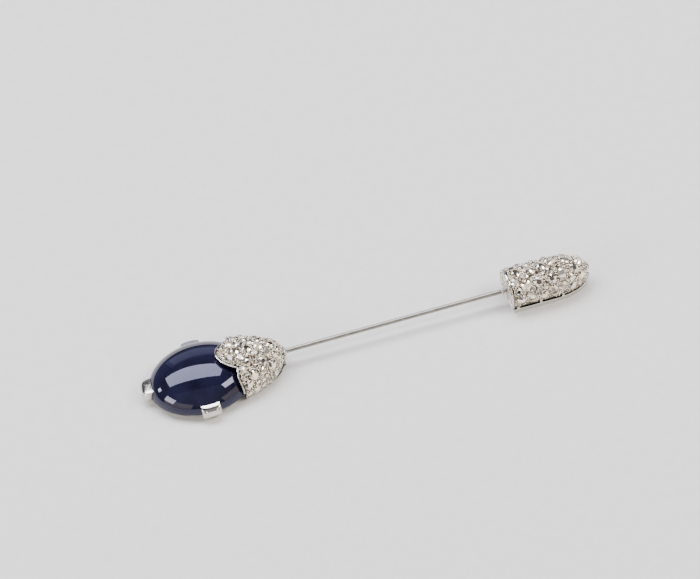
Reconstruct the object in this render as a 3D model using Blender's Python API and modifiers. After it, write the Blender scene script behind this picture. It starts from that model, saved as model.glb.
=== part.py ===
"""Two-ended dress pin: an oval cabochon under a gem-set cap at one end of a round stem, and at the
other end a gem-set terminal that pulls off the stem's point and turns on it.

+X runs from the cabochon to the terminal, +Z is the front, and the flat backs lie on Z = 0.
Every size below is in millimetres. The meshes are made in metres.
"""
import math

import bmesh
import bpy
from mathutils import Vector

MM = 0.001
OBJECT_NAME = "dress_pin"

# --- Driving dimensions ----------------------------------------------------------------------
OVERALL_LENGTH = 76.8
AXIS_HEIGHT = 2.7              # the stem's axis above the backs
STEM_RADIUS = 0.39
HAIR_GAP = 0.03                # between pieces that touch on the real pin
FIT_GAP = 0.05                 # between pieces that nest in one another

STONE_HALF_LENGTH = 8.75
STONE_HALF_WIDTH = 7.35
STONE_DOME = 4.6               # above the girdle
STONE_BELLY = 0.5              # below it
GIRDLE_HEIGHT = AXIS_HEIGHT - 1.45

CLAW_END_THICKNESS = 1.3       # outside the girdle
CLAW_SIDE_THICKNESS = 0.8
CLAW_WIDTH = 3.3
CLAW_REACH = math.radians(20.5)  # how far up the dome a claw stands
CLAW_END_OFF_LINE = math.radians(4.0)  # how far to the far side the end claw stands
CLAW_LEAN = 0.08               # how far its outer face leans in at the top
CLAW_FOOT_INSET = 0.5          # how far it draws in under the girdle
CLAW_FOOT_SHARE = 0.8          # its width there, as a share of its full width
CLAW_FOOT_HEIGHT = 0.06
CLAW_TURN = (0.35, 0.12)       # below the girdle, where its foot turns out and where it stands upright
CLAW_TOP_DROP = 0.12           # its outer edge below its inner edge

SEAT_OUTER = 0.92              # the gallery rings' outlines, as shares of the cabochon's
SEAT_INNER = 0.84
RAIL_OUTER = 0.89
RAIL_INNER = 0.78
RAIL_HEIGHT = 0.28
SEAT_LOW = 0.6
POST_COUNT = 8
POST_RADIUS = 0.24
POST_SHARE = 0.855             # the posts' ring, as a share of the cabochon's outline

CAP_NOSE_X = -14.17
CAP_LENGTH = 12.35
CAP_HALF_WIDTH = 6.8
CAP_TOP = 3.7                  # above the axis
CAP_BOTTOM = AXIS_HEIGHT - RAIL_HEIGHT - 0.1   # below the axis
CAP_NOSE_RADIUS = 1.0
CAP_COLLAR = 0.23              # the straight neck at the nose
CAP_FOOT_SHARE = 0.93          # the cap's width at its foot, as a share of its full width
NOTCH_HALF_SPAN = 3.05         # the centre lobe's half-width at its notches
LOBE_REACH = 2.9               # the centre lobe's tip beyond the notches
SIDE_LOBE_REACH = 0.35
SIDE_LOBE_SPAN = 2.85
RIM_WIRE_RADIUS = 0.15
RIM_WIRE_END = math.radians(6)  # the wire stops this far above the cap's widest line

SOCKET_DEPTH = 4.0
SOCKET_RADIUS = 0.66
FERRULE_REACH = 0.45           # the socket's shoulder outside the cap's nose
FERRULE_RADIUS = 0.86
FERRULE_LIP = 0.10

TERMINAL_LENGTH = 14.28
TERMINAL_HALF_WIDTH = 3.25
TERMINAL_BASE = AXIS_HEIGHT - 1.1    # the shell's lower edge above the back
TERMINAL_SPRING = AXIS_HEIGHT + 0.35  # where the walls turn into the dome
TERMINAL_DOME = 3.35
TERMINAL_NOSE = 6.8
SHELL_WALL = 0.8
ENTRY_THICKNESS = 0.4
ENTRY_LIP = 0.08
BACK_THICKNESS = 0.8
BACK_INSET = 0.25
BEARING_FOOT = TERMINAL_BASE - 0.35
BEARING_LENGTH = 0.9
TERMINAL_POST_RADIUS = 0.28
TERMINAL_POST_PITCH = 3.9

NEEDLE_RADIUS = 0.30           # the stem's end, inside the terminal
NEEDLE_TAPER = 1.3
POINT_ROUND = 0.10
GROOVE_RADIUS = 0.17
GROOVE_HALF = 0.30
BEAD_HALF_LENGTH = 0.22
BEAD_HEIGHT = 0.24
TUBE_BORE = NEEDLE_RADIUS + 0.06
TUBE_RADIUS = 0.95
TUBE_FLANGE = 1.25
TUBE_MOUTH = 0.82
TUBE_STEP = 0.12               # the bore's widening past the needle's point
PLUG_LENGTH = 0.35
PLUG_DEPTH = 1.0
SPRING_HALF = 0.18
SPRING_OUTER = 0.66
SPRING_SPLIT = math.radians(50)

# --- Places worked out from them -------------------------------------------------------------
CLAW_END_X = -OVERALL_LENGTH / 2
TERMINAL_END_X = OVERALL_LENGTH / 2
STONE_X = CLAW_END_X + CLAW_END_THICKNESS + STONE_HALF_LENGTH
ENTRY_X = TERMINAL_END_X - TERMINAL_LENGTH
SHELL_X = ENTRY_X + ENTRY_THICKNESS + HAIR_GAP
NOTCH_X = CAP_NOSE_X - 8.0
SEAT_HIGH = GIRDLE_HEIGHT - STONE_BELLY * math.sqrt(1 - SEAT_INNER**2) - HAIR_GAP
GROOVE_X = ENTRY_X + 5.4
POINT_X = ENTRY_X + 8.6
BEAD_X = ENTRY_X - 0.62
TUBE_END = TERMINAL_END_X - 2.6
ENVELOPE_LENGTH = STONE_HALF_LENGTH + FIT_GAP
ENVELOPE_WIDTH = STONE_HALF_WIDTH + FIT_GAP
BELOW_ALL = -1.0               # cutters start below the backs
ABOVE_ALL = 9.0                # and end above the fronts

ALONG_X = (math.radians(90), 0.0, math.radians(90))   # turns an object's own Z onto +X
OVAL_SIDES = 40
ROUND_STEPS = 24

MATERIALS = {
    "sapphire": ((0.010, 0.014, 0.050), 0.04, 0.0),
    "white_metal": ((0.80, 0.79, 0.76), 0.16, 1.0),
    "satin_metal": ((0.62, 0.61, 0.58), 0.35, 1.0),
    "spring_metal": ((0.55, 0.50, 0.42), 0.30, 1.0),
    "diamond": ((0.90, 0.91, 0.92), 0.03, 0.0),
}


# --- Scene, materials and objects ------------------------------------------------------------
def clear_scene():
    for item in list(bpy.data.objects):
        bpy.data.objects.remove(item, do_unlink=True)


def new_collection(name):
    group = bpy.data.collections.new(name)
    bpy.context.scene.collection.children.link(group)
    return group


def new_material(name):
    colour, roughness, metallic = MATERIALS[name]
    material = bpy.data.materials.new(name)
    material.use_nodes = True
    shader = material.node_tree.nodes["Principled BSDF"]
    shader.inputs["Base Color"].default_value = (*colour, 1.0)
    shader.inputs["Roughness"].default_value = roughness
    shader.inputs["Metallic"].default_value = metallic
    return material


class Workshop:
    """The collections, the materials and the empties that the pieces hang from."""

    def __init__(self):
        self.parts = new_collection(OBJECT_NAME)
        self.cutters = new_collection("cutters")
        self.materials = {name: new_material(name) for name in MATERIALS}

    def pivot(self, name, place, parent=None):
        empty = bpy.data.objects.new(name, None)
        empty.empty_display_size = 2 * MM
        self.parts.objects.link(empty)
        attach(empty, parent, place)
        return empty

    def piece(self, name, mesh, material, parent, place=(0, 0, 0), turn=(0, 0, 0)):
        mesh.materials.clear()
        mesh.materials.append(self.materials[material])
        item = bpy.data.objects.new(name, mesh)
        self.parts.objects.link(item)
        item.rotation_euler = turn
        attach(item, parent, place)
        return item

    def cutter(self, name, mesh, place=(0, 0, 0), turn=(0, 0, 0)):
        item = bpy.data.objects.new(name, mesh)
        self.cutters.objects.link(item)
        item.rotation_euler = turn
        item.location = Vector(place) * MM
        item.hide_render = True
        item.display_type = "WIRE"
        return item


def attach(item, parent, place):
    """Put an object at a place given in world millimetres, under its parent empty."""
    item.location = Vector(place) * MM
    if parent is not None:
        item.parent = parent
        item.location -= Vector(parent["world_place"])
    item["world_place"] = Vector(place) * MM


def cut(item, cutter):
    boolean = item.modifiers.new(cutter.name, "BOOLEAN")
    boolean.operation = "DIFFERENCE"
    boolean.solver = "EXACT"
    boolean.object = cutter


def bevel(item, width, segments=2):
    edges = item.modifiers.new("rounded_edges", "BEVEL")
    edges.width = width * MM
    edges.segments = segments
    edges.limit_method = "ANGLE"
    edges.angle_limit = math.radians(40)


# --- Mesh makers -----------------------------------------------------------------------------
def finished_mesh(name, bm, smooth_angle=35.0):
    """Scale a mesh drawn in millimetres to metres, and face it outwards."""
    bmesh.ops.remove_doubles(bm, verts=bm.verts, dist=1e-5)
    bmesh.ops.scale(bm, vec=(MM, MM, MM), verts=bm.verts)
    bmesh.ops.recalc_face_normals(bm, faces=bm.faces)
    mesh = bpy.data.meshes.new(name)
    bm.to_mesh(mesh)
    bm.free()
    mesh.shade_smooth()
    mesh.set_sharp_from_angle(angle=math.radians(smooth_angle))
    return mesh


def skin(name, rings, ring_loop=False):
    """A loft through closed rings of equal counts. A ring of one point is a pole."""
    bm = bmesh.new()
    rows = [[bm.verts.new(point) for point in ring] for ring in rings]
    pairs = list(zip(rows, rows[1:]))
    if ring_loop:
        pairs.append((rows[-1], rows[0]))
    for low, high in pairs:
        count = max(len(low), len(high))
        for i in range(count):
            j = (i + 1) % count
            corners = [low[i % len(low)], low[j % len(low)], high[j % len(high)], high[i % len(high)]]
            bm.faces.new(list(dict.fromkeys(corners)))
    if not ring_loop:
        for row in (rows[0], rows[-1]):
            if len(row) > 2:
                bm.faces.new(row)
    return finished_mesh(name, bm)


def profile_mesh(name, profile):
    """A turned piece's profile in its own XZ plane, from (height, radius) points down its outer side."""
    bm = bmesh.new()
    points = [bm.verts.new((radius * MM, 0, height * MM)) for height, radius in profile]
    for first, second in zip(points, points[1:]):
        bm.edges.new((first, second))
    if profile[0][1] > 0:
        bm.edges.new((points[-1], points[0]))
    mesh = bpy.data.meshes.new(name)
    bm.to_mesh(mesh)
    bm.free()
    return mesh


def place_turned(shop, name, profile, material, parent):
    """Turn a profile given in world X and radius about the pin's axis."""
    item = shop.piece(name, profile_mesh(name, profile), material, parent, (0, 0, AXIS_HEIGHT), ALONG_X)
    screw = item.modifiers.new("turning", "SCREW")
    screw.axis = "Z"
    screw.angle = math.tau
    screw.steps = ROUND_STEPS
    screw.render_steps = ROUND_STEPS
    screw.use_merge_vertices = True
    screw.merge_threshold = 1e-6
    screw.use_smooth_shade = True
    return item


def prism(name, outline, depth):
    """A flat outline in the object's own XY plane, raised to a depth."""
    bm = bmesh.new()
    face = bm.faces.new([bm.verts.new((x, y, 0)) for x, y in outline])
    raised = bmesh.ops.extrude_face_region(bm, geom=[face])
    top = [item for item in raised["geom"] if isinstance(item, bmesh.types.BMVert)]
    bmesh.ops.translate(bm, vec=(0, 0, depth), verts=top)
    return finished_mesh(name, bm)


def rod(name, radius, length, sides=12):
    bm = bmesh.new()
    bmesh.ops.create_cone(bm, cap_ends=True, segments=sides, radius1=radius, radius2=radius, depth=length)
    return finished_mesh(name, bm)


def oval(half_length, half_width, height, sides=OVAL_SIDES, centre_x=STONE_X):
    angles = [math.tau * i / sides for i in range(sides)]
    return [(centre_x + half_length * math.cos(a), half_width * math.sin(a), height) for a in angles]


# --- The head: cabochon, gallery and claws ---------------------------------------------------
def dome_ring(angle, grow=0.0):
    """The cabochon's outline at an angle up its dome, or down its belly, grown by an offset."""
    rise = STONE_DOME if angle >= 0 else STONE_BELLY
    reach = math.cos(angle)
    height = GIRDLE_HEIGHT + (rise + grow) * math.sin(angle)
    return oval((STONE_HALF_LENGTH + grow) * reach, (STONE_HALF_WIDTH + grow) * reach, height)


def make_cabochon(shop, head):
    belly = [dome_ring(math.radians(a)) for a in (-60, -35, -15)]
    dome = [dome_ring(math.radians(a)) for a in range(0, 90, 12)]
    bottom = [(STONE_X, 0, GIRDLE_HEIGHT - STONE_BELLY)]
    top = [(STONE_X, 0, GIRDLE_HEIGHT + STONE_DOME)]
    shop.piece("cabochon", skin("cabochon", [bottom, *belly, *dome, top]), "sapphire", head)


def oval_band(name, outer, inner, low, high):
    """An oval ring of rectangular section; outer and inner are shares of the cabochon's outline."""
    def loop(share, height):
        return oval(STONE_HALF_LENGTH * share, STONE_HALF_WIDTH * share, height)

    corners = ((outer, low), (outer, high), (inner, high), (inner, low))
    return skin(name, [loop(*corner) for corner in corners], ring_loop=True)


def make_gallery(shop, head):
    """The bearing ring under the girdle and the rail at the back, held apart by short posts."""
    seat = oval_band("stone_seat", SEAT_OUTER, SEAT_INNER, SEAT_LOW, SEAT_HIGH)
    shop.piece("stone_seat", seat, "white_metal", head)
    rail = oval_band("gallery_rail", RAIL_OUTER, RAIL_INNER, 0.0, RAIL_HEIGHT)
    shop.piece("gallery_rail", rail, "white_metal", head)
    post = rod("gallery_post", POST_RADIUS, SEAT_LOW - RAIL_HEIGHT - 2 * HAIR_GAP)
    for i in range(POST_COUNT):
        angle = math.tau * (i + 0.5) / POST_COUNT
        x = STONE_X + POST_SHARE * STONE_HALF_LENGTH * math.cos(angle)
        y = POST_SHARE * STONE_HALF_WIDTH * math.sin(angle)
        place = (x, y, (RAIL_HEIGHT + SEAT_LOW) / 2)
        shop.piece(f"gallery_post_{i + 1}", post, "white_metal", head, place)


def claw_faces(thickness):
    """A claw's inner and outer faces, foot to tip, as (offset, height, fold, width) rows.

    The offset is from the girdle's outline and the fold is an angle up the dome. The foot draws in
    under the girdle. Above it the inner face follows the dome, and the outer face stands upright.
    """
    turn_out, upright = (GIRDLE_HEIGHT - drop for drop in CLAW_TURN)
    middle_share = (1 + CLAW_FOOT_SHARE) / 2
    inner = [
        (-CLAW_FOOT_INSET, CLAW_FOOT_HEIGHT, 0.0, CLAW_FOOT_SHARE),
        (-CLAW_FOOT_INSET, turn_out, 0.0, middle_share),
        (FIT_GAP, upright, 0.0, 1.0),
    ]
    outer = [
        (0.0, CLAW_FOOT_HEIGHT, 0.0, CLAW_FOOT_SHARE),
        (0.7 * thickness, turn_out, 0.0, middle_share),
        (0.95 * thickness, upright, 0.0, 1.0),
    ]
    fold_steps = 4
    for k in range(fold_steps + 1):
        share = k / fold_steps
        fold = CLAW_REACH * share
        inner_height = GIRDLE_HEIGHT + (STONE_DOME + FIT_GAP) * math.sin(fold)
        outer_height = GIRDLE_HEIGHT + STONE_DOME * math.sin(fold) - CLAW_TOP_DROP * share
        inner.append((FIT_GAP, inner_height, fold, 1.0))
        outer.append((thickness - CLAW_LEAN * share**2, outer_height, 0.0, 1.0))
    return inner, outer


def claw_mesh(name, middle, half_span, thickness):
    """A tab that stands on the cabochon's edge and holds its dome."""
    columns = 6

    def point(column, offset, height, fold, width):
        around = middle + half_span * width * (2 * column / columns - 1)
        reach_x = (STONE_HALF_LENGTH + offset) * math.cos(fold)
        reach_y = (STONE_HALF_WIDTH + offset) * math.cos(fold)
        return (STONE_X + reach_x * math.cos(around), reach_y * math.sin(around), height)

    inner_face, outer_face = claw_faces(thickness)
    rings = []
    for column in range(columns + 1):
        inner = [point(column, *row) for row in inner_face]
        outer = [point(column, *row) for row in outer_face]
        rings.append(inner + outer[::-1])
    return skin(name, rings)


def make_claws(shop, head):
    end_span = math.asin(CLAW_WIDTH / 2 / STONE_HALF_WIDTH)
    side_span = math.asin(CLAW_WIDTH / 2 / STONE_HALF_LENGTH)
    claws = (
        ("claw_end", math.pi - CLAW_END_OFF_LINE, end_span, CLAW_END_THICKNESS),
        ("claw_near", -math.pi / 2, side_span, CLAW_SIDE_THICKNESS),
        ("claw_far", math.pi / 2, side_span, CLAW_SIDE_THICKNESS),
    )
    for name, middle, half_span, thickness in claws:
        mesh = claw_mesh(name, middle, half_span, thickness)
        bevel(shop.piece(name, mesh, "white_metal", head), 0.1)


# --- The cap over the cabochon's inner half --------------------------------------------------
def swell(distance, power, root):
    """A rounded growth from 0 at the nose to 1 at the cap's full length."""
    left = min(1.0, max(0.0, 1.0 - distance / CAP_LENGTH))
    return (1.0 - left**power) ** (1.0 / root)


def cap_section(distance):
    """Half-width, top, waist and bottom heights of the cap at a distance behind its nose."""
    swelling = distance - CAP_COLLAR
    width = max(CAP_NOSE_RADIUS, CAP_HALF_WIDTH * swell(swelling, 1.6, 1.97))
    top = max(CAP_NOSE_RADIUS, CAP_TOP * swell(swelling, 2.0, 5.0))
    bottom = min(CAP_BOTTOM, CAP_NOSE_RADIUS + 0.45 * distance)
    return width, AXIS_HEIGHT + top, AXIS_HEIGHT - 0.45 * bottom, AXIS_HEIGHT - bottom


def cap_point(distance, angle):
    """A point on the cap's outside; the angle runs from the near side over the top."""
    width, top, waist, _ = cap_section(distance)
    return Vector((CAP_NOSE_X - distance, -width * math.cos(angle), waist + (top - waist) * math.sin(angle)))


def surface_normal(surface, first, second, inside):
    step = 0.01
    along = surface(first + step, second) - surface(first - step, second)
    across = surface(first, second + step) - surface(first, second - step)
    normal = along.cross(across).normalized()
    outward = surface(first, second) - inside
    return normal if normal.dot(outward) > 0 else -normal


def cap_ring(distance):
    arc_steps = 16
    width, _, _, bottom = cap_section(distance)
    arc = [tuple(cap_point(distance, math.pi * i / arc_steps)) for i in range(arc_steps + 1)]
    x = CAP_NOSE_X - distance
    foot = CAP_FOOT_SHARE * width
    return arc + [(x, foot, bottom), (x, -foot, bottom)]


def rim_x(y):
    """The cap's scalloped edge in plan: one long centre lobe between two shallow side lobes."""
    across = abs(y)
    if across < NOTCH_HALF_SPAN:
        return NOTCH_X - LOBE_REACH * (1 - (across / NOTCH_HALF_SPAN) ** 2) ** 0.8
    along_lobe = min(1.0, (across - NOTCH_HALF_SPAN) / SIDE_LOBE_SPAN)
    return NOTCH_X - SIDE_LOBE_REACH * math.sin(math.pi * along_lobe)


def rim_distance(y):
    return CAP_NOSE_X - rim_x(y)


def stone_envelope(name):
    """The room that the cabochon takes: its dome with a little air, and a straight wall below."""
    wall = [oval(ENVELOPE_LENGTH, ENVELOPE_WIDTH, h) for h in (BELOW_ALL, GIRDLE_HEIGHT)]
    dome = [dome_ring(math.radians(a), FIT_GAP) for a in range(12, 90, 12)]
    top = [(STONE_X, 0, GIRDLE_HEIGHT + STONE_DOME + FIT_GAP)]
    return skin(name, [*wall, *dome, top])


def cap_distances(reach, steps):
    """Stations behind the nose, closer together where the cap swells fastest."""
    return [reach * (i / steps) ** 1.5 for i in range(steps + 1)]


def make_cap(shop, head):
    past_trim = 0.6
    rings = [cap_ring(distance) for distance in cap_distances(rim_distance(0) + past_trim, 16)]
    cap = shop.piece("cap_shell", skin("cap_shell", rings), "satin_metal", head)
    far_y = CAP_HALF_WIDTH + 1.0
    edge_steps = 48
    edge_y = [far_y * (2 * i / edge_steps - 1) for i in range(edge_steps + 1)]
    beyond = rim_x(0) - STONE_HALF_LENGTH
    outline = [(rim_x(y), y) for y in edge_y] + [(beyond, far_y), (beyond, -far_y)]
    trimmer = shop.cutter("cap_trim", prism("cap_trim", outline, ABOVE_ALL - BELOW_ALL), (0, 0, BELOW_ALL))
    room = shop.cutter("cap_room", stone_envelope("cap_room"))
    bore_length = SOCKET_DEPTH + 1.0
    bore = shop.cutter("cap_bore", rod("cap_bore", SOCKET_RADIUS + HAIR_GAP, bore_length, ROUND_STEPS),
                       (CAP_NOSE_X - SOCKET_DEPTH + bore_length / 2, 0, AXIS_HEIGHT), ALONG_X)
    for cutter in (trimmer, room, bore):
        cut(cap, cutter)
    return cap


def wire_x(y, set_off):
    """Where a round wire's centre lies in plan when it touches the scalloped edge from outside."""
    steps = 16
    shifts = [set_off * (2 * i / steps - 1) for i in range(steps + 1)]
    return min(rim_x(y + s) - math.sqrt(set_off**2 - s**2) for s in shifts)


def make_cap_rim(shop, head):
    """The bright wire that edges the scalloped front of the cap."""
    set_off = RIM_WIRE_RADIUS + FIT_GAP
    steps = 52
    settling_passes = 20
    path = []
    for i in range(steps + 1):
        angle = RIM_WIRE_END + (math.pi - 2 * RIM_WIRE_END) * i / steps
        distance = rim_distance(0)
        for _ in range(settling_passes):
            distance = (distance + CAP_NOSE_X - wire_x(cap_point(distance, angle).y, set_off)) / 2
        inside = (CAP_NOSE_X - distance, 0, AXIS_HEIGHT)
        normal = surface_normal(cap_point, distance, angle, Vector(inside))
        path.append(cap_point(distance, angle) - normal * RIM_WIRE_RADIUS)
    curve = bpy.data.curves.new("cap_rim", "CURVE")
    curve.dimensions = "3D"
    curve.bevel_depth = RIM_WIRE_RADIUS * MM
    curve.bevel_resolution = 2
    curve.use_fill_caps = True
    spline = curve.splines.new("POLY")
    spline.points.add(len(path) - 1)
    for target, point in zip(spline.points, path):
        target.co = (*(point * MM), 1.0)
    shop.piece("cap_rim", curve, "white_metal", head)


def make_cap_back(shop, head):
    """The flat plate that closes the cap's back; it stops short of the oval gallery."""
    distances = cap_distances(rim_distance(CAP_HALF_WIDTH), 20)
    inset = 2 * FIT_GAP
    side = [(CAP_NOSE_X - d, CAP_FOOT_SHARE * cap_section(d)[0] - inset) for d in distances]
    outline = [(x, -y) for x, y in reversed(side)] + side
    plate = shop.piece("cap_back_plate", prism("cap_back_plate", outline, RAIL_HEIGHT), "white_metal", head)
    cut(plate, shop.cutter("plate_room", stone_envelope("plate_room")))


def make_stem_socket(shop, head):
    shoulder = CAP_NOSE_X + FERRULE_REACH
    seat = CAP_NOSE_X + HAIR_GAP
    root = CAP_NOSE_X - SOCKET_DEPTH + FIT_GAP
    bore = STEM_RADIUS + HAIR_GAP
    profile = [
        (shoulder, bore), (shoulder, bore + FERRULE_LIP), (shoulder - FERRULE_LIP, bore + 2.5 * FERRULE_LIP),
        (seat, FERRULE_RADIUS), (seat, SOCKET_RADIUS), (root, SOCKET_RADIUS), (root, bore),
    ]
    place_turned(shop, "stem_socket", profile, "white_metal", head)


def make_stem(shop, head):
    """The stem, from its root in the cap to its point, with the catch's groove near the point."""
    root = CAP_NOSE_X - SOCKET_DEPTH + 2 * FIT_GAP
    step_front = BEAD_X - BEAD_HALF_LENGTH - HAIR_GAP
    profile = [
        (POINT_X, 0.0), (POINT_X - POINT_ROUND, 0.2 * NEEDLE_RADIUS),
        (POINT_X - NEEDLE_TAPER, NEEDLE_RADIUS),
        (GROOVE_X + GROOVE_HALF, NEEDLE_RADIUS), (GROOVE_X + GROOVE_HALF, GROOVE_RADIUS),
        (GROOVE_X - GROOVE_HALF, GROOVE_RADIUS), (GROOVE_X - GROOVE_HALF, NEEDLE_RADIUS),
        (step_front, NEEDLE_RADIUS), (step_front - POINT_ROUND, STEM_RADIUS),
        (root, STEM_RADIUS), (root, 0.0),
    ]
    place_turned(shop, "stem", profile, "white_metal", head)
    make_stop_bead(shop, head)


def make_stop_bead(shop, head):
    """The collar that the terminal's mouth comes up against."""
    steps = 8
    profile = []
    for i in range(steps + 1):
        angle = math.pi * i / steps
        x = BEAD_X + BEAD_HALF_LENGTH * math.cos(angle)
        profile.append((x, NEEDLE_RADIUS + HAIR_GAP + BEAD_HEIGHT * math.sin(angle)))
    place_turned(shop, "stem_stop_bead", profile, "white_metal", head)


# --- The catch inside the terminal -----------------------------------------------------------
def make_catch(shop, catch):
    """The tube that takes the needle, its end plug, and the spring in the tube's chamber."""
    front = ENTRY_X + HAIR_GAP
    flange_back = SHELL_X + 0.34
    chamber = SPRING_HALF + HAIR_GAP
    room = SPRING_OUTER + FIT_GAP
    wide_bore = TUBE_BORE + TUBE_STEP
    step_x = POINT_X + 0.4
    tube_profile = [
        (TUBE_END, wide_bore), (TUBE_END, TUBE_RADIUS),
        (flange_back, TUBE_RADIUS), (flange_back, TUBE_FLANGE),
        (SHELL_X, TUBE_FLANGE), (SHELL_X, TUBE_MOUTH), (front, TUBE_MOUTH), (front, TUBE_BORE),
        (GROOVE_X - chamber, TUBE_BORE), (GROOVE_X - chamber, room),
        (GROOVE_X + chamber, room), (GROOVE_X + chamber, TUBE_BORE),
        (step_x, TUBE_BORE), (step_x + TUBE_STEP, wide_bore),
    ]
    place_turned(shop, "catch_tube", tube_profile, "satin_metal", catch)
    face = TUBE_END + HAIR_GAP
    shank = wide_bore - HAIR_GAP
    shank_end = TUBE_END - PLUG_DEPTH
    plug_profile = [
        (face + PLUG_LENGTH, 0.0), (face + PLUG_LENGTH, TUBE_FLANGE - POINT_ROUND),
        (face + PLUG_LENGTH - POINT_ROUND, TUBE_FLANGE), (face, TUBE_FLANGE), (face, shank),
        (shank_end, shank), (shank_end, 0.0),
    ]
    place_turned(shop, "catch_end_plug", plug_profile, "satin_metal", catch)
    make_catch_spring(shop, catch)


def make_catch_spring(shop, catch):
    """A split ring that sits in the needle's groove and opens as the needle's end passes."""
    steps = 28
    first = (math.pi + SPRING_SPLIT) / 2
    angles = [first + (math.tau - SPRING_SPLIT) * i / steps for i in range(steps + 1)]
    inner = GROOVE_RADIUS + HAIR_GAP
    outline = [(SPRING_OUTER * math.cos(a), SPRING_OUTER * math.sin(a)) for a in angles]
    outline += [(inner * math.cos(a), inner * math.sin(a)) for a in reversed(angles)]
    mesh = prism("catch_spring", outline, 2 * SPRING_HALF)
    place = (GROOVE_X - SPRING_HALF, 0, AXIS_HEIGHT)
    shop.piece("catch_spring", mesh, "spring_metal", catch, place, ALONG_X)


# --- The terminal ----------------------------------------------------------------------------
TURN_X = TERMINAL_END_X - TERMINAL_NOSE   # where the terminal starts to narrow to its end


def end_share(x, inset=0.0):
    """The terminal's width at a place along it, or its hollow's, as a share of the full width."""
    beyond = max(0.0, x - TURN_X) / (TERMINAL_NOSE - inset)
    return math.sqrt(max(0.0, 1.0 - beyond**2))


def bullet_plan(start_x, half_width, nose, arc_steps=16):
    """A plan outline: square at the entry, drawn in to a round end."""
    angles = [math.pi * (i / arc_steps - 0.5) for i in range(arc_steps + 1)]
    arc = [(TURN_X + nose * math.cos(a), half_width * math.sin(a)) for a in angles]
    return [(start_x, -half_width), *arc, (start_x, half_width)]


def bullet_solid(name, start_x, inset, low):
    """The terminal's closed outer form, or its hollow when inset by the wall."""
    half_width = TERMINAL_HALF_WIDTH - inset
    nose = TERMINAL_NOSE - inset
    dome = TERMINAL_DOME - inset
    levels = 8
    rings = [(half_width, nose, low)]
    for i in range(levels + 1):
        angle = math.pi / 2 * i / levels
        share = math.cos(angle)
        rings.append((half_width * share, nose * share, TERMINAL_SPRING + dome * math.sin(angle)))
    bm = bmesh.new()
    rows = []
    for width, reach, height in rings:
        plan = bullet_plan(start_x, width, reach)
        rows.append([bm.verts.new((x, y, height)) for x, y in plan])
    for lower, upper in zip(rows, rows[1:]):
        for i in range(len(lower) - 1):
            bm.faces.new((lower[i], lower[i + 1], upper[i + 1], upper[i]))
    bm.faces.new(rows[0])
    bm.faces.new([row[0] for row in rows] + [row[-1] for row in reversed(rows)])
    bmesh.ops.remove_doubles(bm, verts=bm.verts, dist=1e-5)
    bmesh.ops.dissolve_degenerate(bm, edges=bm.edges, dist=1e-5)
    return finished_mesh(name, bm)


def terminal_point(x, angle):
    """A point on the terminal's outside; the angle runs from the near spring line over the top."""
    share = end_share(x)
    return Vector((x, -TERMINAL_HALF_WIDTH * share * math.cos(angle),
                   TERMINAL_SPRING + TERMINAL_DOME * share * math.sin(angle)))


def arch_outline(half_width, low, spring, radius, steps=20):
    """A round-topped outline in (across, up), with its foot at a height."""
    angles = [math.pi * i / steps for i in range(steps + 1)]
    arch = [(half_width * math.cos(a), spring + radius * math.sin(a)) for a in angles]
    return [(-half_width, low), (half_width, low), *arch]


def bored_plate(shop, name, outline, start_x, thickness, hole, material, parent):
    plate = shop.piece(name, prism(name, outline, thickness), material, parent, (start_x, 0, 0), ALONG_X)
    drill = shop.cutter(name + "_hole", rod(name + "_hole", hole, 3 * thickness, ROUND_STEPS),
                        (start_x + thickness / 2, 0, AXIS_HEIGHT), ALONG_X)
    cut(plate, drill)
    return plate


def make_terminal(shop, terminal):
    outer = bullet_solid("terminal_shell", SHELL_X, 0.0, TERMINAL_BASE)
    shell = shop.piece("terminal_shell", outer, "satin_metal", terminal)
    hollow = bullet_solid("terminal_hollow", SHELL_X - 1.0, SHELL_WALL, BELOW_ALL)
    cut(shell, shop.cutter("terminal_hollow", hollow))
    front = arch_outline(TERMINAL_HALF_WIDTH + ENTRY_LIP, TERMINAL_BASE - ENTRY_LIP, TERMINAL_SPRING,
                         TERMINAL_DOME + ENTRY_LIP)
    bored_plate(shop, "entry_plate", front, ENTRY_X, ENTRY_THICKNESS, TUBE_MOUTH + FIT_GAP,
                "white_metal", terminal)
    make_bearing(shop, terminal, "front_bearing", SHELL_X + 0.42)
    make_bearing(shop, terminal, "rear_bearing", TUBE_END - FIT_GAP - BEARING_LENGTH)
    make_terminal_back(shop, terminal)
    return shell


def make_bearing(shop, terminal, name, start_x):
    """A plate inside the shell that carries the catch's tube and fills the hollow's section."""
    share = end_share(start_x + BEARING_LENGTH, SHELL_WALL)
    half_width = (TERMINAL_HALF_WIDTH - SHELL_WALL) * share - FIT_GAP
    dome = (TERMINAL_DOME - SHELL_WALL) * share - FIT_GAP
    outline = arch_outline(half_width, BEARING_FOOT, TERMINAL_SPRING, dome)
    bored_plate(shop, name, outline, start_x, BEARING_LENGTH, TUBE_RADIUS + FIT_GAP, "satin_metal", terminal)


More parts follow.
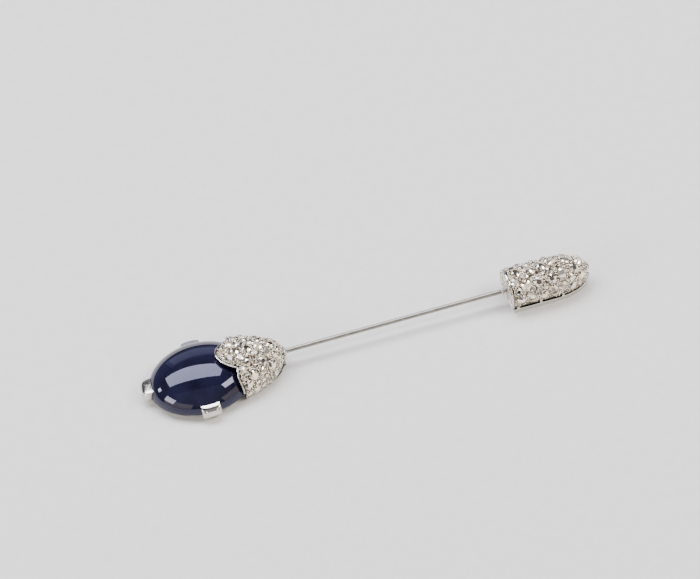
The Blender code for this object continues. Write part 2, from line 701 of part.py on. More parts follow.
def make_terminal_back(shop, terminal):
    """The back plate, and the posts that hold it off the shell in an open gallery."""
    plan = bullet_plan(SHELL_X, TERMINAL_HALF_WIDTH - BACK_INSET, TERMINAL_NOSE - BACK_INSET)
    mesh = prism("terminal_back_plate", plan, BACK_THICKNESS)
    plate = shop.piece("terminal_back_plate", mesh, "white_metal", terminal)
    bevel(plate, HAIR_GAP * 2)
    post = rod("terminal_post", TERMINAL_POST_RADIUS, TERMINAL_BASE - BACK_THICKNESS - 2 * HAIR_GAP)
    middle = TERMINAL_HALF_WIDTH - SHELL_WALL / 2
    first_x = SHELL_X + SHELL_WALL
    post_x = [first_x + TERMINAL_POST_PITCH * i for i in range(3)]
    places = [(x, side * middle * end_share(x)) for side in (-1, 1) for x in post_x]
    height = (BACK_THICKNESS + TERMINAL_BASE) / 2
    for i, (x, y) in enumerate(places):
        shop.piece(f"terminal_post_{i + 1}", post, "white_metal", terminal, (x, y, height))


# --- Set stones ------------------------------------------------------------------------------
CULET_DEPTH = 0.62             # a stone's heights, as shares of its radius
CROWN_HEIGHT = 0.34
GIRDLE_SINK = 0.10             # how far a girdle lies below the metal's face


def diamond_mesh(name, radius):
    """An old-cut stone about its own Z, with its girdle at its origin."""
    sides = 8
    levels = ((0.12, -CULET_DEPTH), (1.0, -0.06), (1.0, 0.06), (0.56, CROWN_HEIGHT))

    def ring(share, height):
        reach = radius * share
        angles = [math.tau * i / sides for i in range(sides)]
        return [(reach * math.cos(a), reach * math.sin(a), radius * height) for a in angles]

    return skin(name, [ring(*level) for level in levels])


def set_stones(shop, shell, parent, prefix, surface, spots):
    """Sink each stone to its girdle in its own round pocket in the shell."""
    for i, (first, second, radius, inside) in enumerate(spots):
        name = f"{prefix}_diamond_{i + 1:02d}"
        place = surface(first, second)
        normal = surface_normal(surface, first, second, Vector(inside))
        turn = normal.to_track_quat("Z", "Y").to_euler()
        shop.piece(name, diamond_mesh(name, radius), "diamond", parent, place - normal * GIRDLE_SINK, turn)
        depth = CULET_DEPTH * radius + GIRDLE_SINK + FIT_GAP
        drill = rod(name + "_pocket", 1.06 * radius + HAIR_GAP, 2 * depth)
        cut(shell, shop.cutter(name + "_pocket", drill, place, turn))


def cap_spots():
    """Stones on the cap: (distance, angle, radius, a point inside)."""
    rows = ((2.0, (90,), 0.78), (4.0, (52, 90, 128), 0.80), (6.0, (34, 62, 90, 118, 146), 0.82),
            (8.0, (90,), 0.84), (9.75, (90,), 0.58))
    spots = []
    for distance, angles, radius in rows:
        inside = (CAP_NOSE_X - distance, 0.0, AXIS_HEIGHT)
        spots += [(distance, math.radians(angle), radius, inside) for angle in angles]
    return spots


def terminal_spots():
    """Stones on the terminal: one row on the crown and a staggered row on each shoulder."""
    spots = []
    lines = ((90, SHELL_X + 1.35, 5), (42, SHELL_X + 2.45, 3), (138, SHELL_X + 2.45, 3))
    for angle, start_x, count in lines:
        for i in range(count):
            x = start_x + 2.2 * i
            spots.append((x, math.radians(angle), 0.85, (x, 0.0, TERMINAL_SPRING)))
    return spots


def main():
    clear_scene()
    shop = Workshop()
    head = shop.pivot("head_origin", (STONE_X, 0, 0))
    catch = shop.pivot("catch_origin", (ENTRY_X, 0, AXIS_HEIGHT))
    terminal = shop.pivot("terminal_origin", (ENTRY_X, 0, AXIS_HEIGHT), catch)
    make_cabochon(shop, head)
    make_gallery(shop, head)
    make_claws(shop, head)
    cap = make_cap(shop, head)
    make_cap_rim(shop, head)
    make_cap_back(shop, head)
    make_stem_socket(shop, head)
    make_stem(shop, head)
    make_catch(shop, catch)
    shell = make_terminal(shop, terminal)
    set_stones(shop, cap, head, "cap", cap_point, cap_spots())
    set_stones(shop, shell, terminal, "terminal", terminal_point, terminal_spots())


main()
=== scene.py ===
"""The finished look of the two-ended dress pin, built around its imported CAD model.

The pin lies along X on its flat backs at Z = 0. Shapes are drawn in millimetres and scaled to metres
when each piece's mesh is made.
"""
import math
import random

import bmesh
import bpy
import numpy as np
from mathutils import Matrix, Vector


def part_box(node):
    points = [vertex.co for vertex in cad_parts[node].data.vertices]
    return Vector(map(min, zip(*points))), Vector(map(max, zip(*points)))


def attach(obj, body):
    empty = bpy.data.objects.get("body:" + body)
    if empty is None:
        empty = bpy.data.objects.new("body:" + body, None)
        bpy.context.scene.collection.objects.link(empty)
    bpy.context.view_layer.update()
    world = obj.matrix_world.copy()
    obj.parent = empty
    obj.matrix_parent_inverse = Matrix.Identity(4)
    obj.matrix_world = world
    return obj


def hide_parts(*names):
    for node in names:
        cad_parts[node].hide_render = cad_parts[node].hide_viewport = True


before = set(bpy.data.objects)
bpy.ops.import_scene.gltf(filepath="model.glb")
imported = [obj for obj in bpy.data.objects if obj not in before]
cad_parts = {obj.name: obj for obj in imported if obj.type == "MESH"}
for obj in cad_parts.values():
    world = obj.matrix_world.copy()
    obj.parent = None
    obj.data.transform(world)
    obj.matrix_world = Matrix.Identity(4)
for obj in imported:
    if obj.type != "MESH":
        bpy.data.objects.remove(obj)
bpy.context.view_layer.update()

MM = 0.001
SEED = 11


# --- Measures read from the CAD model ---
def box_mm(node):
    low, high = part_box(node)
    return low / MM, high / MM


def middle(node):
    low, high = box_mm(node)
    return (low + high) / 2


AXIS_Z = middle("stem").z
STEM_RADIUS = (box_mm("stem")[1].z - box_mm("stem")[0].z) / 2
STONE_LOW, STONE_HIGH = box_mm("cabochon")
STONE_X = middle("cabochon").x
STONE_A = (STONE_HIGH.x - STONE_LOW.x) / 2
STONE_B = (STONE_HIGH.y - STONE_LOW.y) / 2
BELLY = 0.5
GIRDLE_Z = STONE_LOW.z + BELLY
DOME = STONE_HIGH.z - GIRDLE_Z
CAP_NOSE_X = box_mm("cap_shell")[1].x
CAP_FLOOR_Z = box_mm("cap_shell")[0].z
SHELL_LOW, SHELL_HIGH = box_mm("terminal_shell")
SHELL_HALF_WIDTH = (SHELL_HIGH.y - SHELL_LOW.y) / 2

# --- The curves that the CAD shapes follow ---
CAP_LENGTH = 12.35
CAP_HALF_WIDTH = 6.8
CAP_TOP = 3.7
CAP_WIDTH_CURVE = (1.6, 1.97)  # power and root of the swelling behind the nose, in width
CAP_TOP_CURVE = (2.0, 5.0)  # the same, in height
CAP_NOSE_RADIUS = 1.0
CAP_COLLAR = 0.23
CAP_BOTTOM = AXIS_Z - CAP_FLOOR_Z
CAP_BOTTOM_SLOPE = 0.45
CAP_WAIST_SHARE = 0.45  # where the side walls begin, as a share of the depth below the axis
CAP_FOOT_SHARE = 0.93
WALL_ANGLE = 0.45  # the stretch of surface angle that stands for a side wall
FOOT_ANGLES = (-WALL_ANGLE, math.pi + WALL_ANGLE)
WALL_STEPS = 10
NOTCH_X = CAP_NOSE_X - 8.0
NOTCH_HALF_SPAN = 3.05
LOBE_REACH = 2.9
LOBE_POWER = 0.8
SIDE_LOBE_REACH = 0.35
SIDE_LOBE_SPAN = 2.85
RIM_WIRE_RADIUS = 0.15
RIM_WIRE_END = math.radians(6)
TERMINAL_NOSE = 6.8
TERMINAL_TURN_X = SHELL_HIGH.x - TERMINAL_NOSE
TERMINAL_SPRING = AXIS_Z + 0.35
TERMINAL_DOME = 3.35
ENTRY_HOLE = 0.87  # radius of the round hole in the terminal's mouth
ENTRY_RECESS = 0.10  # how deep the mouth's face lies behind its bright edge
CLAW_WIDTH = 3.3
CLAW_REACH = math.radians(20.5)
CLAW_END_OFF_LINE = math.radians(4.0)
CLAW_LEAN = 0.08
CLAW_FOOT_INSET = 0.5
CLAW_FOOT_SHARE = 0.8
CLAW_FOOT_HEIGHT = 0.06
CLAW_TURN = (0.35, 0.12)  # below the girdle, where the foot turns out and where it stands upright
CLAW_TURN_SHARES = (0.7, 0.95)  # how far out the claw's face stands there, in thicknesses
CLAW_TOP_DROP = 0.12
NEEDLE_RADIUS = 0.30
POINT_ROUND = 0.10
POINT_RADIUS = 0.06
POINT_TAPER = 1.2
GROOVE_RADIUS = 0.17
GROOVE_HALF = 0.30
GROOVE_BEVEL = 0.04
SHOULDER = (  # how far behind the stop bead's middle, and the stem's radius there
    (0.25, NEEDLE_RADIUS), (0.27, STEM_RADIUS - 0.05), (0.33, STEM_RADIUS - 0.01), (0.40, STEM_RADIUS))
SOCKET_RADIUS = 0.66
FIT_GAP = 0.05
POST_WAIST = 0.28  # how much thinner a post is halfway up, as a share

# --- The stone setting ---
CAP_STONES = (0.80, 0.72, 0.64, 0.56, 0.48, 0.40, 0.33)  # radii, largest first
TERMINAL_STONES = (0.85, 0.76, 0.66, 0.57, 0.48, 0.40, 0.33)
MOUTH_STONES = (0.36, 0.30, 0.24)
STONE_GAP = 0.05
MOUTH_STONE_GAP = 0.04
LARGE_BED_PLACES = 9000  # random places that a bed of stones chooses from
MOUTH_PLACES = 4000
EDGE_MARGIN = 0.08  # metal between a stone and the edge of its bed
SIZE_SPREAD = 0.05  # how far a stone's radius strays from its size, as a share
GIRDLE_SINK = 0.10  # how far a set stone's girdle lies below the metal's face
CROWN_HEIGHT = 0.34  # of a CAD stone, as a share of its radius
STONE_TILT = 0.05
SPARKLE_SPREAD = (0.62, 0.55)  # shape of the facets' painted sparkle: below 1, most are either dark or bright
SPARKLE_LIFT = 0.16  # how far a whole stone's painted sparkle strays
GRAIN_RADIUS = 0.13
GRAIN_SPACING = 0.24
MOUTH_GRAIN_RADIUS = 0.08
MOUTH_GRAIN_SPACING = 0.2
GRAIN_REACH = (0.35, 3.0)  # nearest and farthest from a stone, in grain radii
POCKET_DEPTH = 0.40
POCKET_REACH = 1.03  # a pocket's radius, as a share of its stone's
POCKET_RANGE = 1.2  # how far along a stone's axis its pocket reaches
BRIGHT_CUT_WIDTH = 0.2  # of the raised edge around a pocket, as a share of its stone's radius
BRIGHT_CUT_HEIGHT = 0.035
GROUND_THICKNESS = 0.42


# --- Making pieces ---
def add_object(name, data):
    item = bpy.data.objects.new(name, data)
    bpy.context.scene.collection.objects.link(item)
    return item


def add_rider(name, data, body, replaced):
    """An object that rides on a CAD body and stands for its CAD nodes."""
    piece = add_object(name, data)
    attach(piece, body)
    if replaced:
        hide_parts(*replaced)


def add_piece(name, mesh, material, body, replaced=(), smooth_angle=40.0):
    """Turn a mesh drawn in millimetres into a piece. A smooth angle of 0 leaves its faces flat."""
    mesh.transform(Matrix.Scale(MM, 4))
    mesh.materials.append(material)
    if smooth_angle > 0:
        mesh.shade_smooth()
        mesh.set_sharp_from_angle(angle=math.radians(smooth_angle))
    else:
        mesh.shade_flat()
    add_rider(name, mesh, body, replaced)


def close_mesh(name, bm):
    """Finish a built shape: no doubled points, no slivers, faces pointing out."""
    bmesh.ops.remove_doubles(bm, verts=bm.verts, dist=1e-4)
    bmesh.ops.dissolve_degenerate(bm, edges=bm.edges, dist=1e-4)
    bmesh.ops.recalc_face_normals(bm, faces=bm.faces)
    mesh = bpy.data.meshes.new(name)
    bm.to_mesh(mesh)
    bm.free()
    return mesh


def skin(name, rings, ring_loop=False):
    """A loft through closed rings of equal counts. A ring of one point is a pole."""
    bm = bmesh.new()
    rows = [[bm.verts.new(point) for point in ring] for ring in rings]
    pairs = list(zip(rows, rows[1:]))
    if ring_loop:
        pairs.append((rows[-1], rows[0]))
    for low, high in pairs:
        count = max(len(low), len(high))
        for i in range(count):
            j = (i + 1) % count
            corners = [low[i % len(low)], low[j % len(low)], high[j % len(high)], high[i % len(high)]]
            bm.faces.new(list(dict.fromkeys(corners)))
    if not ring_loop:
        for row in (rows[0], rows[-1]):
            if len(row) > 2:
                bm.faces.new(row)
    return close_mesh(name, bm)


def thick_sheet(name, outer, inner):
    """A closed shell between an outer and an inner grid of points."""
    bm = bmesh.new()
    rows, columns = len(outer), len(outer[0])
    top = [[bm.verts.new(p) for p in row] for row in outer]
    under = [[bm.verts.new(p) for p in row] for row in inner]
    for i in range(rows - 1):
        for j in range(columns - 1):
            bm.faces.new((top[i][j], top[i][j + 1], top[i + 1][j + 1], top[i + 1][j]))
            bm.faces.new((under[i][j], under[i + 1][j], under[i + 1][j + 1], under[i][j + 1]))
    edge = [(0, j) for j in range(columns)] + [(i, columns - 1) for i in range(1, rows)]
    edge += [(rows - 1, j) for j in range(columns - 2, -1, -1)] + [(i, 0) for i in range(rows - 2, 0, -1)]
    for (i, j), (k, m) in zip(edge, edge[1:] + edge[:1]):
        bm.faces.new((top[i][j], under[i][j], under[k][m], top[k][m]))
    return close_mesh(name, bm)


def turned(name, profile, centre, steps=48, along_x=True):
    """A turned mesh from (along, radius) points; a profile that starts off the axis is a closed loop."""
    rings = []
    for along, radius in profile:
        ring = []
        for i in range(steps if radius > 0 else 1):
            angle = math.tau * i / steps
            side, up = radius * math.cos(angle), radius * math.sin(angle)
            ring.append((along, centre[1] + side, centre[2] + up) if along_x
                        else (centre[0] + side, centre[1] + up, along))
        rings.append(ring)
    return skin(name, rings, ring_loop=profile[0][1] > 0)


def rounded_loop(low, high, inner, outer, radius, steps=4):
    """A rounded rectangle as (along, across) points, for turned or swept rings."""
    corners = ((high - radius, outer - radius, 0), (high - radius, inner + radius, 270),
               (low + radius, inner + radius, 180), (low + radius, outer - radius, 90))
    loop = []
    for along, across, start in corners:
        for k in range(steps + 1):
            angle = math.radians(start + 90 - 90 * k / steps)
            loop.append((along + radius * math.cos(angle), across + radius * math.sin(angle)))
    return loop


# --- Materials ---
class Nodes:
    """A small helper for building a material's node tree."""

    def __init__(self, name):
        self.material = bpy.data.materials.new(name)
        self.material.use_nodes = True
        self.tree = self.material.node_tree
        self.shader = self.tree.nodes["Principled BSDF"]

    def node(self, kind, settings=None, **inputs):
        item = self.tree.nodes.new(kind)
        for key, value in (settings or {}).items():
            setattr(item, key, value)
        for key, value in inputs.items():
            self.feed(item.inputs[key.replace("_", " ")], value)
        return item

    def feed(self, socket, value):
        if isinstance(value, bpy.types.NodeSocket):
            self.tree.links.new(value, socket)
        else:
            socket.default_value = value

    def set(self, **inputs):
        for key, value in inputs.items():
            self.feed(self.shader.inputs[key.replace("_", " ")], value)

    def place(self, stretch=(1, 1, 1)):
        """Object coordinates in millimetres, stretched for directional grain."""
        place = self.node("ShaderNodeTexCoord").outputs["Object"]
        scale = [share / MM for share in stretch]
        return self.node("ShaderNodeMapping", Vector=place, Scale=scale).outputs["Vector"]

    def noise(self, scale, detail=4.0, stretch=(1, 1, 1)):
        item = self.node("ShaderNodeTexNoise", Scale=scale, Detail=detail, Vector=self.place(stretch))
        return item.outputs["Fac"]

    def ramp(self, factor, stops):
        item = self.node("ShaderNodeValToRGB", Fac=factor)
        elements = item.color_ramp.elements
        while len(elements) < len(stops):
            elements.new(0.5)
        for element, (position, colour) in zip(elements, stops):
            element.position = position
            element.color = (*colour, 1.0) if isinstance(colour, tuple) else (colour, colour, colour, 1.0)
        return item.outputs["Color"]

    def remap(self, factor, low, high, to_low, to_high):
        ends = {"From_Min": low, "From_Max": high, "To_Min": to_low, "To_Max": to_high}
        return self.node("ShaderNodeMapRange", Value=factor, **ends).outputs["Result"]

    def bump(self, height, distance, strength=1.0):
        item = self.node("ShaderNodeBump", Height=height, Strength=strength, Distance=distance * MM)
        return item.outputs["Normal"]

    def multiply(self, first, second):
        """Two colours multiplied. The Mix node's colour sockets share their names, so go by number."""
        first_colour, second_colour, result = 6, 7, 2
        item = self.node("ShaderNodeMix", {"data_type": "RGBA", "blend_type": "MULTIPLY"})
        item.inputs["Factor"].default_value = 1.0
        self.feed(item.inputs[first_colour], first)
        self.feed(item.inputs[second_colour], second)
        return item.outputs[result]


def metal_material(name, light, dark, rough_low, rough_high, scratch):
    """White precious metal: cloudy polish, hairline scratches, and painted shade that darkens the hollows.
    """
    nodes = Nodes(name)
    clouds = nodes.noise(1.3, 3.0)
    hairlines = nodes.noise(9.0, 6.0, (0.35, 4.0, 4.0))
    geometry = nodes.node("ShaderNodeNewGeometry")
    # Painted shade: where pointiness is low the base colour drops to about a fifth, as if shade fell in the
    # hollows.
    painted_hollow_shade = nodes.ramp(geometry.outputs["Pointiness"], ((0.42, 0.18), (0.50, 0.90), (0.56, 1.0)))
    tint = nodes.ramp(clouds, ((0.30, dark), (0.70, light)))
    nodes.set(Base_Color=nodes.multiply(tint, painted_hollow_shade), Metallic=1.0)
    nodes.set(Roughness=nodes.remap(clouds, 0.3, 0.7, rough_low, rough_high))
    nodes.set(Normal=nodes.bump(hairlines, scratch, 0.35))
    return nodes.material


def sapphire_material():
    """Very dark blue stone with a high polish: faint silk and colour zoning under the surface."""
    nodes = Nodes("deep_blue_stone")
    zones = nodes.noise(0.22, 2.0, (1.0, 1.0, 1.6))
    silk = nodes.noise(3.0, 5.0, (3.0, 0.6, 1.0))
    colour = nodes.ramp(zones, ((0.35, (0.0048, 0.0046, 0.014)), (0.65, (0.0085, 0.0084, 0.026))))
    haze = nodes.ramp(silk, ((0.35, 0.85), (0.75, 1.15)))
    nodes.set(Base_Color=nodes.multiply(colour, haze), Roughness=nodes.remap(silk, 0.3, 0.7, 0.015, 0.045))
    nodes.set(IOR=1.52, Specular_Tint=(0.72, 0.74, 1.0, 1.0))
    nodes.set(Normal=nodes.bump(nodes.noise(0.5, 2.0), 0.02, 0.15))
    return nodes.material


def diamond_material():
    """Old-cut stones: each facet carries its own painted sparkle under a hard glossy surface, a dark or
    bright colour that stands in for the light a diamond returns.
    """
    nodes = Nodes("old_cut_diamond")
    painted_sparkle = nodes.node("ShaderNodeAttribute", {"attribute_name": "facet_painted_sparkle"})
    # Painted reflection: bright facets are coloured warm white and turn metallic, dark facets near black.
    colour = nodes.ramp(painted_sparkle.outputs["Fac"], (
        (0.00, (0.008, 0.006, 0.004)), (0.26, (0.07, 0.050, 0.032)), (0.50, (0.55, 0.44, 0.30)),
        (0.70, (1.0, 0.88, 0.68)), (1.00, (1.0, 0.96, 0.84))))
    nodes.set(Base_Color=colour, Roughness=nodes.remap(nodes.noise(2.0), 0.3, 0.7, 0.02, 0.06))
    nodes.set(Metallic=nodes.remap(painted_sparkle.outputs["Fac"], 0.58, 0.90, 0.0, 1.0))
    nodes.set(IOR=2.42)
    return nodes.material


def floor_material():
    nodes = Nodes("pale_floor")
    grain = nodes.noise(0.6, 5.0)
    nodes.set(Base_Color=nodes.ramp(grain, ((0.3, (0.70, 0.69, 0.67)), (0.7, (0.74, 0.73, 0.71)))))
    nodes.set(Roughness=nodes.remap(grain, 0.3, 0.7, 0.55, 0.7))
    nodes.set(Normal=nodes.bump(grain, 0.02, 0.3))
    return nodes.material


POLISHED = metal_material("polished_white_metal", (0.72, 0.70, 0.66), (0.60, 0.58, 0.54), 0.07, 0.17, 0.012)
SATIN = metal_material("pave_ground_metal", (0.24, 0.21, 0.165), (0.10, 0.085, 0.065), 0.20, 0.38, 0.02)
GRAIN = metal_material("grain_metal", (0.86, 0.80, 0.70), (0.70, 0.64, 0.55), 0.07, 0.17, 0.012)
INNER = metal_material("inner_steel", (0.60, 0.58, 0.55), (0.45, 0.43, 0.40), 0.25, 0.4, 0.02)
SPRING = metal_material("spring_bronze", (0.72, 0.58, 0.38), (0.55, 0.43, 0.27), 0.18, 0.3, 0.015)
# Painted shade: the stem's metal is a darker copy of the polished white metal, so that its underside reads
# dark as if in shadow.
SHADED_STEM_METAL = metal_material("stem_metal_painted_shade", (0.40, 0.375, 0.335), (0.32, 0.30, 0.265), 0.30, 0.40, 0.012)
MOUTH = metal_material("mouth_metal", (0.34, 0.31, 0.26), (0.20, 0.18, 0.15), 0.20, 0.38, 0.02)
SAPPHIRE = sapphire_material()
DIAMOND = diamond_material()
FLOOR = floor_material()


# --- The head ---
def oval(length, width, height, sides=112):
    angles = [math.tau * i / sides for i in range(sides)]
    return [(STONE_X + length * math.cos(a), width * math.sin(a), height) for a in angles]


def make_cabochon():
    belly = [(math.radians(a), BELLY) for a in range(-84, 0, 12)]
    dome = [(math.radians(a), DOME) for a in range(0, 90, 3)]
    rings = [[(STONE_X, 0, GIRDLE_Z - BELLY)]]
    for angle, rise in belly + dome:
        reach = math.cos(angle)
        rings.append(oval(STONE_A * reach, STONE_B * reach, GIRDLE_Z + rise * math.sin(angle)))
    rings.append([(STONE_X, 0, GIRDLE_Z + DOME)])
    add_piece("blue_cabochon", skin("blue_cabochon", rings), SAPPHIRE, "pin", ["cabochon"])


def oval_band(name, node, inner_share, rounding):
    """An oval ring with rounded edges, in the room of its CAD ring."""
    low, high = box_mm(node)
    outer_share = (high.x - low.x) / 2 / STONE_A
    loop = rounded_loop(low.z, high.z, inner_share * STONE_B, outer_share * STONE_B, rounding)
    rings = [oval(across + STONE_A - STONE_B, across, height) for height, across in loop]
    add_piece(name, skin(name, rings, ring_loop=True), POLISHED, "pin", [node])


def make_posts(prefix, node_prefix, count, body):
    """Small waisted posts that hold two levels of a gallery apart."""
    for i in range(1, count + 1):
        node = f"{node_prefix}_{i}"
        low, high = box_mm(node)
        centre = middle(node)
        radius = (high.x - low.x) / 2
        rows = 8
        profile = [(low.z, 0.0)]
        for k in range(rows + 1):
            waist = 1.0 - POST_WAIST * math.sin(math.pi * k / rows)
            profile.append((low.z + (high.z - low.z) * k / rows, radius * waist))
        profile.append((high.z, 0.0))
        name = f"{prefix}_{i}"
        mesh = turned(name, profile, centre, steps=20, along_x=False)
        add_piece(name, mesh, POLISHED, body, [node])


def claw_rows(thickness):
    """A claw's section, foot to tip: inner and outer (offset, height, fold) and the width's share."""
    turn_out, upright = (GIRDLE_Z - drop for drop in CLAW_TURN)
    turn_out_face, upright_face = (share * thickness for share in CLAW_TURN_SHARES)
    middle_share = (1 + CLAW_FOOT_SHARE) / 2
    rows = [
        ((-CLAW_FOOT_INSET, CLAW_FOOT_HEIGHT, 0.0), (0.0, CLAW_FOOT_HEIGHT, 0.0), CLAW_FOOT_SHARE),
        ((-CLAW_FOOT_INSET, turn_out, 0.0), (turn_out_face, turn_out, 0.0), middle_share),
        ((FIT_GAP, upright, 0.0), (upright_face, upright, 0.0), 1.0),
    ]
    fold_steps = 4
    for k in range(fold_steps + 1):
        share = k / fold_steps
        fold = CLAW_REACH * share
        inner_height = GIRDLE_Z + (DOME + FIT_GAP) * math.sin(fold)
        outer_height = GIRDLE_Z + DOME * math.sin(fold) - CLAW_TOP_DROP * share
        outer_offset = thickness - CLAW_LEAN * share**2
        rows.append(((FIT_GAP, inner_height, fold), (outer_offset, outer_height, 0.0), 1.0))
    return rows


def claw_point(around, offset, height, fold):
    reach_x = (STONE_A + offset) * math.cos(fold)
    reach_y = (STONE_B + offset) * math.cos(fold)
    return Vector((STONE_X + reach_x * math.cos(around), reach_y * math.sin(around), height))


def smooth_path(points, count):
    """Points spaced evenly along a curve that passes through the given ones."""
    padded = [points[0] * 2 - points[1], *points, points[-1] * 2 - points[-2]]
    fine = []
    steps = 16
    for before, start, end, after in zip(padded, padded[1:], padded[2:], padded[3:]):
        for k in range(steps):
            t = k / steps
            bend = (before * -1 + start * 3 - end * 3 + after) * t**3
            bend += (before * 2 - start * 5 + end * 4 - after) * t**2 + (end - before) * t
            fine.append(start + bend / 2)
    fine.append(points[-1])
    lengths = [0.0]
    for one, two in zip(fine, fine[1:]):
        lengths.append(lengths[-1] + (two - one).length)
    wanted = np.linspace(0.0, lengths[-1], count)
    axes = [np.interp(wanted, lengths, [point[axis] for point in fine]) for axis in range(3)]
    return [Vector(point) for point in zip(*axes)]


def make_claw(node, middle_angle, half_span, thickness):
    """An upright tab with soft edges and two little drill marks on its shoulder."""
    columns, rows = 56, 64
    crest_power, edge_power = 12, 6
    edge_share = 0.05  # of the thickness left at the tab's own edges
    dimple_radius = 0.27
    dimple_across, dimple_up = 0.62, 0.92
    dimple_depth = min(0.6, 0.30 / thickness)
    section = claw_rows(thickness)
    inner_columns, outer_columns = [], []
    for j in range(columns + 1):
        across = 2 * j / columns - 1
        inner_path = [claw_point(middle_angle + half_span * across * w, *low) for low, _, w in section]
        outer_path = [claw_point(middle_angle + half_span * across * w, *high) for _, high, w in section]
        inner_columns.append(smooth_path(inner_path, rows + 1))
        outer_columns.append(smooth_path(outer_path, rows + 1))
    marks = []
    for side in (-1, 1):
        column = round(columns * (1 + side * dimple_across) / 2)
        marks.append(outer_columns[column][round(rows * dimple_up)])
    outer, inner = [], []
    for i in range(rows + 1):
        crest = (1 - (i / rows) ** crest_power) ** 0.5
        outer_row, inner_row = [], []
        for j in range(columns + 1):
            across = 2 * j / columns - 1
            edge = (1 - abs(across) ** edge_power) ** 0.5
            base = inner_columns[j][i]
            point = base.lerp(outer_columns[j][i], edge_share + (1 - edge_share) * edge * crest)
            for mark in marks:
                near = (point - mark).length / dimple_radius
                if near < 1:
                    point = point.lerp(base, dimple_depth * (1 - near**2) ** 0.5)
            outer_row.append(point)
            inner_row.append(base)
        outer.append(outer_row)
        inner.append(inner_row)
    name = node + "_tab"
    add_piece(name, thick_sheet(name, outer, inner), POLISHED, "pin", [node], 60.0)


def make_claws():
    end_thickness = STONE_LOW.x - box_mm("claw_end")[0].x
    side_thickness = STONE_LOW.y - box_mm("claw_near")[0].y
    end_span = math.asin(CLAW_WIDTH / 2 / STONE_B)
    side_span = math.asin(CLAW_WIDTH / 2 / STONE_A)
    make_claw("claw_end", math.pi - CLAW_END_OFF_LINE, end_span, end_thickness)
    make_claw("claw_near", -math.pi / 2, side_span, side_thickness)
    make_claw("claw_far", math.pi / 2, side_span, side_thickness)


# --- The cap's surface ---
def swell(distance, power, root):
    """How much of its full size the cap has reached, at a distance behind its nose."""
    left = min(1.0, max(0.0, 1.0 - distance / CAP_LENGTH))
    return (1.0 - left**power) ** (1.0 / root)


def cap_section(distance):
    """Half the width, and the heights of the top, the waist and the bottom."""
    swelling = distance - CAP_COLLAR
    width = max(CAP_NOSE_RADIUS, CAP_HALF_WIDTH * swell(swelling, *CAP_WIDTH_CURVE))
    top = max(CAP_NOSE_RADIUS, CAP_TOP * swell(swelling, *CAP_TOP_CURVE))
    bottom = min(CAP_BOTTOM, CAP_NOSE_RADIUS + CAP_BOTTOM_SLOPE * distance)
    return width, AXIS_Z + top, AXIS_Z - CAP_WAIST_SHARE * bottom, AXIS_Z - bottom


def cap_point(distance, angle):
    """A point on the cap; the angle runs 0 to pi over the top, and past either end down a side wall."""
    width, top, waist, bottom = cap_section(distance)
    x = CAP_NOSE_X - distance
    if 0 <= angle <= math.pi:
        return Vector((x, -width * math.cos(angle), waist + (top - waist) * math.sin(angle)))
    side = -1 if angle < 0 else 1
    share = (-angle if angle < 0 else angle - math.pi) / WALL_ANGLE
    return Vector((x, side * width * (1 - (1 - CAP_FOOT_SHARE) * share), waist + (bottom - waist) * share))


def rim_x(y):
    """The scalloped edge from above: a long centre lobe between two notches, and a short lobe each side."""
    across = abs(y)
    if across < NOTCH_HALF_SPAN:
        return NOTCH_X - LOBE_REACH * (1 - (across / NOTCH_HALF_SPAN) ** 2) ** LOBE_POWER
    along_lobe = min(1.0, (across - NOTCH_HALF_SPAN) / SIDE_LOBE_SPAN)
    return NOTCH_X - SIDE_LOBE_REACH * math.sin(math.pi * along_lobe)


def rim_distance(angle, set_off=0.0):
    """How far behind the nose the scalloped edge lies at an angle, or a wire laid along it."""
    steps = 12
    rounds = 24
    shifts = [set_off * (2 * i / steps - 1) for i in range(steps + 1)] if set_off else [0.0]
    distance = CAP_NOSE_X - rim_x(0)
    for _ in range(rounds):
        y = cap_point(distance, angle).y
        edge = min(rim_x(y + s) - math.sqrt(max(0.0, set_off**2 - s**2)) for s in shifts)
        distance = (distance + CAP_NOSE_X - edge) / 2
    return distance


def normal_at(surface, first, second, inside):
    """A surface's own direction, away from a point inside it."""
    step = 0.01
    along = surface(first + step, second) - surface(first - step, second)
    across = surface(first, second + step) - surface(first, second - step)
    normal = along.cross(across)
    if normal.length < 1e-9:
        return (surface(first, second) - inside).normalized()
    normal.normalize()
    return normal if normal.dot(surface(first, second) - inside) > 0 else -normal


def cap_normal(distance, angle):
    return normal_at(cap_point, distance, angle, Vector((CAP_NOSE_X - distance, 0, AXIS_Z)))


# --- The terminal's surface ---
def terminal_point(x, angle):
    """A point on the terminal; the angle runs as on the cap."""
    share = 1.0
    if x > TERMINAL_TURN_X:
        share = math.sqrt(max(0.0, 1 - ((x - TERMINAL_TURN_X) / TERMINAL_NOSE) ** 2))
    if 0 <= angle <= math.pi:
        return Vector((x, -SHELL_HALF_WIDTH * share * math.cos(angle),
                       TERMINAL_SPRING + TERMINAL_DOME * share * math.sin(angle)))
    side = -1 if angle < 0 else 1
    down = (-angle if angle < 0 else angle - math.pi) / WALL_ANGLE
    height = TERMINAL_SPRING + (SHELL_LOW.z - TERMINAL_SPRING) * down
    return Vector((x, side * SHELL_HALF_WIDTH * share, height))


def terminal_normal(x, angle):
    """The surface's direction; its very tip faces along the pin."""
    tip = TERMINAL_TURN_X + TERMINAL_NOSE - 0.03
    if x > tip:
        return Vector((1, 0, 0))
    inside = Vector((min(x, TERMINAL_TURN_X), 0, min(TERMINAL_SPRING, terminal_point(x, angle).z)))
    return normal_at(terminal_point, x, angle, inside)


